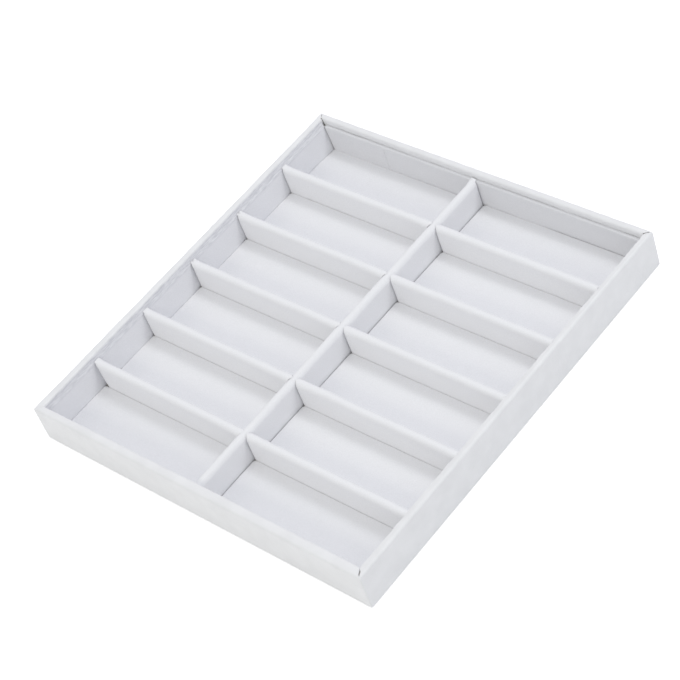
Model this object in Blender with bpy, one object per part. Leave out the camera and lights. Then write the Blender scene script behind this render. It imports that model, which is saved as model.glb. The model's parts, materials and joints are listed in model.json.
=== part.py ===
"""An open tray for sunglasses: a board box in leatherette, lined and divided with cloth-covered strips.

The tray stands on z = 0 with its middle on the z axis. Its length runs along y, with the front at -y.
A piece that fits another keeps CLEARANCE to it, the thickness of the glue between them.
"""

import math

import bmesh
import bpy

# The whole tray, over the leatherette
TRAY_WIDTH = 0.350
TRAY_LENGTH = 0.375
TRAY_HEIGHT = 0.0375

# Round edges of the leatherette
CORNER_RADIUS = 0.003
RIM_OUTER_RADIUS = 0.003
RIM_INNER_RADIUS = 0.0022
FOOT_RADIUS = 0.001

# Thickness of each material
CLEARANCE = 0.0003
LEATHERETTE = 0.0006
WALL_BOARD = 0.0046
BASE_BOARD = 0.0020
UNDERSIDE_SHEET = 0.0004
LINER_CARD = 0.0016
LINER_FABRIC = 0.0005
SLEEVE_FABRIC = 0.0006
FLOOR_CARD = 0.0015

# Leatherette turned inwards, and the slits that let it turn the corners
TURN_IN_DEPTH = 0.012
HEM_WIDTH = 0.012
SHEET_MARGIN = 0.003
OPEN_SLIT = 0.0009
CLOSED_SLIT = 0.0003
SLIT_STOP = 0.0012

# Lining strips and dividers, whose tops are level
PARTITION_DROP = 0.006
LINER_EDGE_RADIUS = 0.0004
# The left strip has a thinner card, whose foot stands off the wall by this much
LEFT_LINER_LEAN = 0.0008
DIVIDER_THICKNESS = 0.0082
DIVIDER_CREST_FLAT = 0.0012
DIVIDER_END_RADIUS = 0.0011
# How far a crest stands back at its ends, where the crown runs out square
CREST_SETBACK = 0.0004

# Places of the cross dividers, measured from the front liner's face
FIRST_COMPARTMENT = 0.0533
DIVIDER_PITCH = 0.0611
DIVIDERS = 5

# Air at the ends of the dividers
END_GAP = 0.0003
SPINE_TO_RIGHT_DIVIDER = 0.0012
# From the left liner's foot to each left divider, front to rear: at the crest, below the crown and at the foot
LEFT_END_GAPS = (
    (-0.0004, 0.0026, 0.0062),
    (-0.0004, 0.0005, 0.0013),
    (-0.0004, 0.0018, 0.0010),
    (-0.0004, 0.0002, 0.0010),
    (-0.0004, 0.0002, 0.0008),
)

# Floor cards, and the air round them
FLOOR_CORNER_RADIUS = 0.0025
FLOOR_EDGE_RADIUS = 0.0003
FLOOR_GAP = 0.0005
SPINE_TO_RIGHT_FLOOR = 0.0012

# Facets of a round corner seen from above, and of a round edge
CORNER_STEPS = 2
EDGE_STEPS = 3

# Heights that follow from the thicknesses
HEM_BOTTOM = UNDERSIDE_SHEET + CLEARANCE
BASE_BOTTOM = HEM_BOTTOM + LEATHERETTE + CLEARANCE
DECK = BASE_BOTTOM + BASE_BOARD + CLEARANCE
FLOOR_TOP = DECK + FLOOR_CARD
PARTITION_TOP = TRAY_HEIGHT - PARTITION_DROP

# Insets from the outer faces that follow from the thicknesses
BOARD_INSET = LEATHERETTE + CLEARANCE
RIM_WIDTH = 2 * BOARD_INSET + WALL_BOARD
LINER_BACK = RIM_WIDTH + CLEARANCE
LINER_FACE = LINER_BACK + LINER_CARD + CLEARANCE + LINER_FABRIC


def clear_scene():
    for obj in list(bpy.data.objects):
        bpy.data.objects.remove(obj, do_unlink=True)


def srgb(hex_colour):
    """Linear colour of a six-digit sRGB hex colour."""
    channels = [int(hex_colour[i : i + 2], 16) / 255 for i in (0, 2, 4)]
    linear = [c / 12.92 if c <= 0.04045 else ((c + 0.055) / 1.055) ** 2.4 for c in channels]
    return (*linear, 1.0)


def material(name, hex_colour, roughness):
    made = bpy.data.materials.new(name)
    made.use_nodes = True
    shader = made.node_tree.nodes["Principled BSDF"]
    shader.inputs["Base Color"].default_value = srgb(hex_colour)
    shader.inputs["Roughness"].default_value = roughness
    shader.inputs["Metallic"].default_value = 0.0
    return made


def place(name, mesh, coat, location=(0.0, 0.0, 0.0)):
    """Puts a mesh in the scene as one named piece."""
    mesh.materials.clear()
    mesh.materials.append(coat)
    obj = bpy.data.objects.new(name, mesh)
    obj.location = location
    bpy.context.scene.collection.objects.link(obj)
    return obj


def mesh_from(name, bm):
    bmesh.ops.recalc_face_normals(bm, faces=bm.faces)
    mesh = bpy.data.meshes.new(name)
    bm.to_mesh(mesh)
    bm.free()
    return mesh


def loft(bm, rings):
    """Skins a list of rings with the same number of points, and closes the first and the last."""
    rows = [[bm.verts.new(point) for point in ring] for ring in rings]
    count = len(rows[0])
    for low, high in zip(rows, rows[1:]):
        for i in range(count):
            j = (i + 1) % count
            bm.faces.new((low[i], low[j], high[j], high[i]))
    bm.faces.new(rows[0][::-1])
    bm.faces.new(rows[-1])


def lofted(name, rings):
    bm = bmesh.new()
    loft(bm, rings)
    return mesh_from(name, bm)


def box(name, low, high):
    x0, y0, z0 = low
    x1, y1, z1 = high
    ring = ((x0, y0), (x1, y0), (x1, y1), (x0, y1))
    return lofted(name, [[(x, y, z) for x, y in ring] for z in (z0, z1)])


def round_plan(x0, x1, y0, y1, radius):
    """Outline, anticlockwise, of a rectangle whose corners have this radius."""
    corners = ((x1, y1, 0), (x0, y1, 1), (x0, y0, 2), (x1, y0, 3))
    points = []
    for x, y, quarter in corners:
        cx = x - math.copysign(radius, x - (x0 + x1) / 2)
        cy = y - math.copysign(radius, y - (y0 + y1) / 2)
        for step in range(CORNER_STEPS + 1):
            angle = math.pi / 2 * (quarter + step / CORNER_STEPS)
            points.append((cx + radius * math.cos(angle), cy + radius * math.sin(angle)))
    return points


def quarter_round(radius, steps):
    """(inset, drop) pairs of a quarter circle, from the upright side in to the level top."""
    angles = [math.pi / 2 * step / steps for step in range(steps + 1)]
    return [(radius * (1 - math.cos(a)), radius * (1 - math.sin(a))) for a in angles]


def slab_rings(plan, bottom, top, edge_radius, steps):
    """Rings of a slab from its bottom up, its top edge rounded. plan(z, inset) gives the outline."""
    rings = [[(x, y, bottom) for x, y in plan(bottom, 0.0)]]
    for inset, drop in quarter_round(edge_radius, steps):
        z = top - drop
        rings.append([(x, y, z) for x, y in plan(z, inset)])
    return rings


def round_the_tray(bm, section):
    """Carries a closed (inset, z) section round the tray.

    An inset under CORNER_RADIUS goes round each corner in an arc, and a larger one meets in a mitre.
    """
    rows = []
    for inset, z in section:
        x, y = TRAY_WIDTH / 2 - inset, TRAY_LENGTH / 2 - inset
        radius = CORNER_RADIUS - inset
        if radius > CLEARANCE:
            rows.append([bm.verts.new((px, py, z)) for px, py in round_plan(-x, x, -y, y, radius)])
            continue
        corners = [bm.verts.new((px, py, z)) for px, py in ((x, y), (-x, y), (-x, -y), (x, -y))]
        rows.append([vert for vert in corners for _ in range(CORNER_STEPS + 1)])
    count = len(rows[0])
    for row, following in zip(rows, rows[1:] + rows[:1]):
        for i in range(count):
            j = (i + 1) % count
            ring = list(dict.fromkeys((row[i], row[j], following[j], following[i])))
            if len(ring) > 2:
                bm.faces.new(ring)


def boolean(obj, operation, cutter):
    cutter.hide_render = True
    cutter.display_type = "WIRE"
    modifier = obj.modifiers.new(operation.title(), "BOOLEAN")
    modifier.operation = operation
    modifier.solver = "EXACT"
    modifier.object = cutter


def wrap_section():
    """Outline of the leatherette strip: hem under the base, outer face, rim, turn-in behind the liner."""
    skin = LEATHERETTE
    section = [(HEM_WIDTH, HEM_BOTTOM)]
    section += [(inset, HEM_BOTTOM + drop) for inset, drop in quarter_round(FOOT_RADIUS, EDGE_STEPS)[::-1]]
    section += [(inset, TRAY_HEIGHT - drop) for inset, drop in quarter_round(RIM_OUTER_RADIUS, EDGE_STEPS)]
    inner = quarter_round(RIM_INNER_RADIUS, EDGE_STEPS)[::-1]
    section += [(RIM_WIDTH - inset, TRAY_HEIGHT - drop) for inset, drop in inner]
    turn_in_end = TRAY_HEIGHT - TURN_IN_DEPTH
    section += [(RIM_WIDTH, turn_in_end), (RIM_WIDTH - skin, turn_in_end)]
    inner = quarter_round(RIM_INNER_RADIUS - skin, EDGE_STEPS)
    section += [(RIM_WIDTH - skin - inset, TRAY_HEIGHT - skin - drop) for inset, drop in inner]
    outer = quarter_round(RIM_OUTER_RADIUS - skin, EDGE_STEPS)[::-1]
    section += [(skin + inset, TRAY_HEIGHT - skin - drop) for inset, drop in outer]
    foot = quarter_round(FOOT_RADIUS - skin, EDGE_STEPS)
    section += [(skin + inset, HEM_BOTTOM + skin + drop) for inset, drop in foot]
    return section + [(HEM_WIDTH, HEM_BOTTOM + skin)]


def slit_cutter(name, side_x, side_y, width):
    """An upright blade on a corner's diagonal, from SLIT_STOP inside the outer faces to inside the tray."""
    start = SLIT_STOP + CORNER_RADIUS * (1 - math.sqrt(0.5))
    end = LINER_FACE
    bottom = TRAY_HEIGHT - TURN_IN_DEPTH - CLEARANCE
    outline = []
    for inset, side in ((start, -1), (end, -1), (end, 1), (start, 1)):
        across = side * width / 2 * math.sqrt(0.5)
        outline.append((TRAY_WIDTH / 2 - inset - across, TRAY_LENGTH / 2 - inset + across))
    rings = [
        [(side_x * x, side_y * y, z) for x, y in outline] for z in (bottom, TRAY_HEIGHT + CLEARANCE)
    ]
    return lofted(name, rings)


def add_leatherette_wrap(coat):
    bm = bmesh.new()
    round_the_tray(bm, wrap_section())
    wrap = place("leatherette_wrap", mesh_from("leatherette_wrap", bm), coat)
    corners = (
        ("rear_left", -1, 1, OPEN_SLIT),
        ("front_right", 1, -1, OPEN_SLIT),
        ("rear_right", 1, 1, CLOSED_SLIT),
        ("front_left", -1, -1, CLOSED_SLIT),
    )
    for name, side_x, side_y, width in corners:
        blade = slit_cutter("slit_" + name, side_x, side_y, width)
        boolean(wrap, "DIFFERENCE", place("slit_" + name, blade, coat))


def board_section():
    """Outline of the wall boards inside the leatherette."""
    outer = RIM_OUTER_RADIUS - BOARD_INSET
    inner = RIM_INNER_RADIUS - BOARD_INSET
    top = TRAY_HEIGHT - BOARD_INSET
    far = BOARD_INSET + WALL_BOARD
    section = [(far, DECK), (BOARD_INSET, DECK)]
    section += [(BOARD_INSET + inset, top - drop) for inset, drop in quarter_round(outer, EDGE_STEPS)]
    section += [(far - inset, top - drop) for inset, drop in quarter_round(inner, EDGE_STEPS)[::-1]]
    return section


def add_wall_boards(coat):
    """The side boards run the whole length, and the front and rear boards fit between them."""
    x = TRAY_WIDTH / 2 - BOARD_INSET - WALL_BOARD
    y = TRAY_LENGTH / 2 - BOARD_INSET - WALL_BOARD
    past_x, past_y = TRAY_WIDTH / 2 + CLEARANCE, TRAY_LENGTH / 2 + CLEARANCE
    between = x - CLEARANCE
    regions = {
        "left": ((-past_x, -past_y), (-x + CLEARANCE / 2, past_y)),
        "right": ((x - CLEARANCE / 2, -past_y), (past_x, past_y)),
        "front": ((-between, -past_y), (between, -y + CLEARANCE / 2)),
        "rear": ((-between, y - CLEARANCE / 2), (between, past_y)),
    }
    for side, (low, high) in regions.items():
        bm = bmesh.new()
        round_the_tray(bm, board_section())
        board = place("wall_board_" + side, mesh_from("wall_board_" + side, bm), coat)
        region = box("region_" + side, (*low, 0.0), (*high, TRAY_HEIGHT + CLEARANCE))
        boolean(board, "INTERSECT", place("region_" + side, region, coat))


def add_base(board_coat, sheet_coat):
    x, y = TRAY_WIDTH / 2, TRAY_LENGTH / 2

    def plan(inset):
        radius = max(CORNER_RADIUS - inset, FLOOR_CORNER_RADIUS / 2)
        return round_plan(-x + inset, x - inset, -y + inset, y - inset, radius)

    board = [[(px, py, z) for px, py in plan(BOARD_INSET)] for z in (BASE_BOTTOM, BASE_BOTTOM + BASE_BOARD)]
    place("base_board", lofted("base_board", board), board_coat)
    sheet = [[(px, py, z) for px, py in plan(SHEET_MARGIN)] for z in (0.0, UNDERSIDE_SHEET)]
    place("underside_sheet", lofted("underside_sheet", sheet), sheet_coat)


def liner_card_section(lean):
    """(depth, z) outline of the card in one lining strip. Its foot stands off the wall by lean."""
    top = PARTITION_TOP - LINER_FABRIC - CLEARANCE
    return [(lean, DECK), (LINER_CARD, DECK), (LINER_CARD - lean, top), (0.0, top)]


def liner_fabric_section(lean):
    """(depth, z) outline of the cloth on one lining strip: down its face and over the card's top."""
    foot = LINER_FACE - LINER_BACK
    depth = foot - lean
    section = [(foot - LINER_FABRIC, DECK), (foot, DECK)]
    front = quarter_round(LINER_EDGE_RADIUS, EDGE_STEPS)
    section += [(depth - inset, PARTITION_TOP - drop) for inset, drop in front]
    under = PARTITION_TOP - LINER_FABRIC
    return section + [(0.0, PARTITION_TOP), (0.0, under), (depth - LINER_FABRIC, under)]


def add_liners(card_coat, fabric_coat):
    """The side liners run the whole length, and the front and rear liners fit between their faces."""
    x, y = TRAY_WIDTH / 2 - LINER_BACK, TRAY_LENGTH / 2 - LINER_BACK
    depth = LINER_FACE - LINER_BACK
    reach = x - depth - CLEARANCE
    # Each strip runs from start to end on the line at wall, and its depth grows along inward
    strips = {
        "left": ((-x, -y), (-x, y), (1, 0)),
        "right": ((x, -y), (x, y), (-1, 0)),
        "front": ((-reach, -y), (reach, -y), (0, 1)),
        "rear": ((-reach, y), (reach, y), (0, -1)),
    }
    for side, (start, end, inward) in strips.items():
        lean = LEFT_LINER_LEAN if side == "left" else 0.0
        for kind, section, coat in (
            ("card", liner_card_section(lean), card_coat),
            ("fabric", liner_fabric_section(lean), fabric_coat),
        ):
            name = f"liner_{kind}_{side}"
            rings = [
                [(px + inward[0] * d, py + inward[1] * d, z) for d, z in section] for px, py in (start, end)
            ]
            place(name, lofted(name, rings), coat)


def partition(name, x_ends, y_ends, along_x, core_coat, sleeve_coat, location=(0.0, 0.0, 0.0)):
    """A padded core in a cloth sleeve, with a round crown. x_ends(z) and y_ends(z) give its faces."""
    crest = (DIVIDER_THICKNESS - DIVIDER_CREST_FLAT) / 2
    skin = SLEEVE_FABRIC + CLEARANCE

    def plan_of(thickness):
        """The outline inside a skin this thick. The crown narrows the faces but hardly shortens the ends."""

        def plan(z, inset):
            across = inset + thickness
            along = inset / crest * CREST_SETBACK + thickness
            dx, dy = (along, across) if along_x else (across, along)
            x0, x1 = x_ends(z)
            y0, y1 = y_ends(z)
            radius = DIVIDER_END_RADIUS * (1 - 2 * across / DIVIDER_THICKNESS)
            return round_plan(x0 + dx, x1 - dx, y0 + dy, y1 - dy, radius)

        return plan

    outer = slab_rings(plan_of(0.0), DECK, PARTITION_TOP, crest, EDGE_STEPS)
    under = PARTITION_TOP - SLEEVE_FABRIC
    inner = slab_rings(plan_of(SLEEVE_FABRIC), DECK, under, crest - SLEEVE_FABRIC, EDGE_STEPS)
    core = slab_rings(plan_of(skin), DECK, PARTITION_TOP - skin, crest - skin, EDGE_STEPS)
    kind = name.split("_")[0]
    rest = name[len(kind) :]
    place(kind + "_sleeve" + rest, lofted(kind + "_sleeve" + rest, outer[::-1] + inner), sleeve_coat, location)
    place(kind + "_core" + rest, lofted(kind + "_core" + rest, core), core_coat, location)


def divider_middles():
    first = -TRAY_LENGTH / 2 + LINER_FACE + FIRST_COMPARTMENT + DIVIDER_THICKNESS / 2
    return [first + i * DIVIDER_PITCH for i in range(DIVIDERS)]


def add_spine(core_coat, sleeve_coat):
    half = DIVIDER_THICKNESS / 2
    end = TRAY_LENGTH / 2 - LINER_FACE - END_GAP
    partition("spine", lambda z: (-half, half), lambda z: (-end, end), False, core_coat, sleeve_coat)


def leaning_gap(gaps, z):
    """Air at a divider's end at height z, from its values at the crest, below the crown and at the foot."""
    crest_gap, crown_gap, foot_gap = gaps
    crown_foot = PARTITION_TOP - DIVIDER_THICKNESS / 2
    if z > crown_foot:
        share = (PARTITION_TOP - z) / (PARTITION_TOP - crown_foot)
        return crest_gap + (crown_gap - crest_gap) * share
    share = (crown_foot - z) / (crown_foot - DECK)
    return crown_gap + (foot_gap - crown_gap) * share


def add_dividers(core_coat, sleeve_coat):
    half = DIVIDER_THICKNESS / 2
    liner = TRAY_WIDTH / 2 - LINER_FACE

    def across(z):
        return (-half, half)

    for number, (middle, gaps) in enumerate(zip(divider_middles(), LEFT_END_GAPS), 1):

        def left_ends(z):
            return (-liner + leaning_gap(gaps, z), -half - END_GAP)

        def right_ends(z):
            return (half + SPINE_TO_RIGHT_DIVIDER, liner - END_GAP)

        for side, ends in (("left", left_ends), ("right", right_ends)):
            name = f"divider_{side}_{number}"
            partition(name, ends, across, True, core_coat, sleeve_coat, (0.0, middle, 0.0))


def compartments():
    """(side, number, x0, x1, y0, y1) of each floor between the faces of its walls, front to rear."""
    half = DIVIDER_THICKNESS / 2
    x, y = TRAY_WIDTH / 2 - LINER_FACE, TRAY_LENGTH / 2 - LINER_FACE
    fronts = [-y] + [middle + half for middle in divider_middles()]
    rears = [middle - half for middle in divider_middles()] + [y]
    for number, (y0, y1) in enumerate(zip(fronts, rears), 1):
        yield "left", number, -x + FLOOR_GAP, -half - FLOOR_GAP, y0 + FLOOR_GAP, y1 - FLOOR_GAP
        yield "right", number, half + SPINE_TO_RIGHT_FLOOR, x - FLOOR_GAP, y0 + FLOOR_GAP, y1 - FLOOR_GAP


def add_floor_cards(coat):
    """Cards faced with velour, cut out with round corners."""
    for side, number, x0, x1, y0, y1 in compartments():

        def plan(z, inset):
            return round_plan(x0 + inset, x1 - inset, y0 + inset, y1 - inset, FLOOR_CORNER_RADIUS - inset)

        name = f"floor_card_{side}_{number}"
        place(name, lofted(name, slab_rings(plan, DECK, FLOOR_TOP, FLOOR_EDGE_RADIUS, EDGE_STEPS)), coat)


def build():
    clear_scene()
    leatherette = material("white_leatherette", "F1F1F0", 0.45)
    fabric = material("white_velour", "ECECEE", 0.9)
    board = material("greyboard", "9C9992", 0.85)
    card = material("grey_card", "A9A59C", 0.85)
    foam = material("divider_padding", "E4E0D6", 0.9)
    sheet = material("underside_cloth", "E6E6E8", 0.9)
    add_base(board, sheet)
    add_wall_boards(board)
    add_leatherette_wrap(leatherette)
    add_liners(card, fabric)
    add_spine(foam, fabric)
    add_dividers(foam, fabric)
    add_floor_cards(fabric)


build()
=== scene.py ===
# %% [markdown]
# # A tray for twelve pairs of sunglasses
# The tray is a shallow board box wrapped in white leatherette. Its inside is lined with white velour, and
# velour-covered strips divide it into two columns of six compartments. The boards, cards and cores come from
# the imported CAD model. Everything soft that shows is made again here as a surface worked out with numpy.

# %% The frame
import json
import math

import bmesh
import bpy
import numpy as np
from mathutils import Matrix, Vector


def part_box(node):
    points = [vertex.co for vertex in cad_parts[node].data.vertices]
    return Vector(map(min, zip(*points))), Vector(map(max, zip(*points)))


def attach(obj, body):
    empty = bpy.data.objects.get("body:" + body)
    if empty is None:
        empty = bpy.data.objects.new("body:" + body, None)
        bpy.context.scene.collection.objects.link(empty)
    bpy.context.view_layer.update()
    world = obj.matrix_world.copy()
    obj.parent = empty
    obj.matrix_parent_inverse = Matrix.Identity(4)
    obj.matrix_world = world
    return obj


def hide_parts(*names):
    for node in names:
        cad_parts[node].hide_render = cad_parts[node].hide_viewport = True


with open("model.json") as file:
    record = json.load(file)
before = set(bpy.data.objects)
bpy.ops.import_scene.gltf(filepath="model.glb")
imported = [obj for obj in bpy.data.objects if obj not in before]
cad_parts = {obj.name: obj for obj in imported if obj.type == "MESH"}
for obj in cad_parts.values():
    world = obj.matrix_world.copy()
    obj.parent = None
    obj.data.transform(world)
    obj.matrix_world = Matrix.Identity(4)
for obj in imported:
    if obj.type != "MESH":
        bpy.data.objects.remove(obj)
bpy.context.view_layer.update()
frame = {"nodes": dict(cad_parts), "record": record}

MM = 0.001

# %% [markdown]
# ## The camera
# A photograph fixes its camera by vanishing points. This one was solved from the tray's edges and corners: it
# gives the place of the lens, three axes and the focal length in pixels. Blender wants the focal length in
# millimetres on a 36 mm sensor, and the small offset of the picture's middle as a shift.

# %% Camera
PICTURE_SIDE = 680
SENSOR_WIDTH = 36.0
FOCAL_PIXELS = 2163.0
LENS_CENTRE = (343.1, 337.8)
CAMERA_PLACE = (1.00192, -0.70134, 1.23296)
CAMERA_RIGHT = (0.74522269, 0.61342889, -0.26143477)
CAMERA_DOWN = (0.32606129, -0.67722153, -0.65958702)
CAMERA_AHEAD = (-0.58165899, 0.40629545, -0.70469626)

lens = bpy.data.cameras.new("camera")
lens.sensor_width = SENSOR_WIDTH
lens.lens = SENSOR_WIDTH * FOCAL_PIXELS / PICTURE_SIDE
lens.shift_x = (PICTURE_SIDE / 2 - LENS_CENTRE[0]) / PICTURE_SIDE
lens.shift_y = (LENS_CENTRE[1] - PICTURE_SIDE / 2) / PICTURE_SIDE
camera = bpy.data.objects.new("camera", lens)
turn = Matrix((CAMERA_RIGHT, [-x for x in CAMERA_DOWN], [-x for x in CAMERA_AHEAD])).transposed()
camera.matrix_world = Matrix.Translation(CAMERA_PLACE) @ turn.to_4x4()
bpy.context.scene.collection.objects.link(camera)
bpy.context.scene.camera = camera
print("lens:", round(lens.lens, 1), "mm")

# %% [markdown]
# ## Tools for materials
# Colours are written as sRGB hex values, as a colour picker shows them, and turned to linear light once.
# One function adds a node with its settings and its links, so that a material reads as a list.


# %% Material tools
def linear(hex_colour):
    """sRGB to linear: c / 12.92 below 0.04045, and ((c + 0.055) / 1.055) to the power 2.4 above it."""
    c = np.array([int(hex_colour[i : i + 2], 16) for i in (0, 2, 4)]) / 255
    return (*np.where(c <= 0.04045, c / 12.92, ((c + 0.055) / 1.055) ** 2.4).tolist(), 1.0)


def add(tree, kind, settings=None, **inputs):
    """Adds a node. settings are its properties, and each input is a value or another node's output."""
    node = tree.nodes.new("ShaderNode" + kind)
    for name, value in (settings or {}).items():
        setattr(node, name, value)
    for name, value in inputs.items():
        socket = node.inputs[int(name[1:])] if name[0] == "_" else node.inputs[name.replace("_", " ")]
        if isinstance(value, bpy.types.NodeSocket):
            tree.links.new(value, socket)
        else:
            socket.default_value = value
    return node


def principled(name, **inputs):
    """A new material: its tree, its shader and where its patterns start, the object's own coordinates."""
    material = bpy.data.materials.new(name)
    material.use_nodes = True
    tree = material.node_tree
    tree.nodes.clear()
    place = add(tree, "TexCoord").outputs["Object"]
    shader = add(tree, "BsdfPrincipled", **inputs)
    add(tree, "OutputMaterial", Surface=shader.outputs["BSDF"])
    return material, tree, shader, place


def noise(tree, place, size, detail=2.0, roughness=0.5):
    """Noise whose bumps are about size metres across."""
    made = add(tree, "TexNoise", Vector=place, Scale=1 / size, Detail=detail, Roughness=roughness)
    return made.outputs["Fac"]


def tint(tree, shader, factor, dark, light):
    """Base colour that runs from dark to light with a factor from 0.3 to 0.7, the range of most noise."""
    ramp = add(tree, "ValToRGB", Fac=factor)
    for element, position, colour in zip(ramp.color_ramp.elements, (0.3, 0.7), (dark, light)):
        element.position = position
        element.color = linear(colour)
    tree.links.new(ramp.outputs["Color"], shader.inputs["Base Color"])


def bump(tree, shader, *layers):
    """Stacks bumps on a shader, each (height output, depth in metres)."""
    normal = None
    for height, depth in layers:
        inputs = {"Height": height, "Strength": 1.0, "Distance": depth}
        if normal is not None:
            inputs["Normal"] = normal
        normal = add(tree, "Bump", **inputs).outputs["Normal"]
    tree.links.new(normal, shader.inputs["Normal"])


# %% [markdown]
# ## The two skins
# **Leatherette** is polyurethane cast on a cloth and embossed with a fine grain. It is a plastic: no metal,
# IOR 1.5, and half matt because of the grain, whose cells are 0.8 mm across.
#
# **Velour** is a short pile of polyester on a backing. Fibres that stand up scatter light at a grazing angle,
# which the sheen layer gives. The pile leans a little this way and that, in patches about 10 mm across, and
# its tufts are finer than a picture of the whole tray can show, so they are drawn 0.7 mm across.
#
# The linings' velour is given darker copies of its colour, which are painted shade. The rear and right walls'
# copy is the darkest, and the left wall's lies between it and the floor's. Where the left wall's cloth folds
# over
# its card, greyer streaks run along it: partly the pile parting over its backing, and partly painted shade
# under the rim.

# %% Leatherette
GRAIN_CELL = 0.8 * MM
leatherette, tree, shader, place = principled("polyurethane leatherette", Roughness=0.45, IOR=1.5)
tint(tree, shader, noise(tree, place, 14 * MM), "EAEAEB", "EFEFF0")
cells = add(tree, "TexVoronoi", {"feature": "SMOOTH_F1"}, Vector=place, Scale=1 / GRAIN_CELL, Smoothness=0.6)
bump(tree, shader, (cells.outputs["Distance"], 0.06 * MM), (noise(tree, place, 5 * MM, 3.0), 0.12 * MM))
print("made", leatherette.name)

# %% Velour
TUFT = 0.7 * MM
# The streaks in the fold: their width, how many times as long they are, and the greyer colour painted in
# them, partly the backing showing and partly painted shade under the rim
STREAK_WIDTH = 0.9 * MM
STREAK_LENGTH = 8
BACKING_AND_SHADE = "D3D3D8"
# How far below the lining's top the streaks are full, and over what height they come in
FOLD_DEPTH = 0.8 * MM
FOLD_FADE = 2.5 * MM


def pile_cloth(name, dark, light, fold=None):
    """Velour whose tufts run from dark to light. Above the height fold, greyer streaks paint parted pile and
    shade into it.
    """
    gloss = {"Roughness": 0.95, "IOR": 1.45, "Sheen_Weight": 0.25, "Sheen_Roughness": 0.45}
    cloth, tree, shader, place = principled(name, **gloss)
    tufts = noise(tree, place, TUFT, 3.0, 0.6)
    tint(tree, shader, tufts, dark, light)
    bump(tree, shader, (tufts, 0.10 * MM), (noise(tree, place, 10 * MM, 2.0), 0.12 * MM))
    if fold:
        pile = shader.inputs["Base Color"].links[0].from_socket
        height = add(tree, "SeparateXYZ", Vector=place).outputs["Z"]
        above = add(tree, "MapRange", _0=height, _1=fold - FOLD_FADE, _2=fold).outputs[0]
        drawn_out = add(tree, "Mapping", Vector=place, Scale=(1, 1 / STREAK_LENGTH, 1)).outputs[0]
        uneven = noise(tree, drawn_out, STREAK_WIDTH, 3.0, 0.6)
        streaks = add(tree, "MapRange", _0=uneven, _1=0.35, _2=0.65).outputs[0]
        parted_and_shaded = add(tree, "Math", {"operation": "MULTIPLY"}, _0=above, _1=streaks).outputs[0]
        # Painted shade: above the fold the greyer streak colour also darkens the lining's top under the rim
        mixed = add(tree, "Mix", {"data_type": "RGBA"}, Factor=parted_and_shaded, _6=pile, _7=linear(BACKING_AND_SHADE))
        tree.links.new(mixed.outputs[2], shader.inputs["Base Color"])
    return cloth


velour = pile_cloth("polyester velour", "EBEBED", "F4F4F6")
# Darker copies as painted shade: the first for the rear and right linings, the second, between it and the
# floor's, for the left lining
velour_painted_shade = pile_cloth("polyester velour, painted shade", "DEDEE1", "E7E7E9")
fold_height = float(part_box("liner_fabric_left")[1][2]) - FOLD_DEPTH
velour_painted_half_shade = pile_cloth("polyester velour, painted half shade and streaks", "E7E7EA", "F0F0F3", fold_height)
print("made velour in 3 lays, with its fold", round(fold_height / MM, 1), "mm up")

# %% [markdown]
# ## The hidden materials
# Under the skins are grey board walls, thinner grey card, foam-wrapped divider cores and a thin felt on the
# underside. Little of them shows, but a view through a slit or from below should meet the right thing.

# %% Board, card, foam and felt
greyboard, tree, shader, place = principled("recycled grey board", Roughness=0.85, IOR=1.5)
tint(tree, shader, noise(tree, place, 0.9 * MM, 4.0, 0.7), "8C8984", "A6A39D")
bump(tree, shader, (noise(tree, place, 0.5 * MM, 3.0), 0.05 * MM))

grey_card, tree, shader, place = principled("recycled grey card", Roughness=0.85, IOR=1.5)
tint(tree, shader, noise(tree, place, 0.6 * MM, 4.0, 0.7), "98948B", "B5B1A8")
bump(tree, shader, (noise(tree, place, 0.4 * MM, 3.0), 0.03 * MM))

foam, tree, shader, place = principled("polyethylene foam", Roughness=0.9, IOR=1.5)
tint(tree, shader, noise(tree, place, 1.0 * MM, 3.0), "DDD9CE", "E9E5DB")
bump(tree, shader, (noise(tree, place, 0.8 * MM, 2.0), 0.10 * MM))

felt, tree, shader, place = principled("needled felt", Roughness=0.95, IOR=1.45, Sheen_Weight=0.2)
tint(tree, shader, noise(tree, place, 0.8 * MM, 5.0, 0.7), "DCDCDE", "E8E8EA")
bump(tree, shader, (noise(tree, place, 0.6 * MM, 5.0, 0.7), 0.15 * MM))

finishes = {
    "greyboard": greyboard,
    "card": grey_card,
    "divider_padding": foam,
    "underside_cloth": felt,
    "leatherette": leatherette,
    "velour": velour,
}
slots = {part["node"]: part["material_slot"] for part in frame["record"]["subparts"]}
for node, obj in frame["nodes"].items():
    for material_slot in obj.material_slots:
        material_slot.material = finishes[slots[node]]
print("finishes:", ", ".join(finishes))

# %% [markdown]
# ## Tools for surfaces
# Each soft piece is a grid of points. Its rows run across the piece and its columns along it. Two functions
# turn such grids into closed meshes. The first joins rings, one above the other. The second makes a sheet
# with a front and a back skin and closes its edges, as a strip of cloth or leatherette is.


# %% Surface tools
# Points nearer to each other than this, in metres, become one point. An edge that bends by more degrees than
# SHARP isn't shaded smooth.
WELD = 1e-7
SHARP = 50


def finish_mesh(name, points, faces, finish):
    """Puts arrays of points and faces in a mesh, welds the points that meet, and turns all faces out."""
    mesh = bpy.data.meshes.new(name)
    mesh.from_pydata(points.reshape(-1, 3), [], faces.reshape(-1, faces.shape[-1]))
    bm = bmesh.new()
    bm.from_mesh(mesh)
    bmesh.ops.remove_doubles(bm, verts=bm.verts, dist=WELD)
    bmesh.ops.recalc_face_normals(bm, faces=bm.faces)
    bm.to_mesh(mesh)
    bm.free()
    mesh.shade_smooth()
    mesh.set_sharp_from_angle(angle=math.radians(SHARP))
    mesh.materials.append(finish)
    obj = bpy.data.objects.new(name, mesh)
    bpy.context.scene.collection.objects.link(obj)
    return obj


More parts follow.
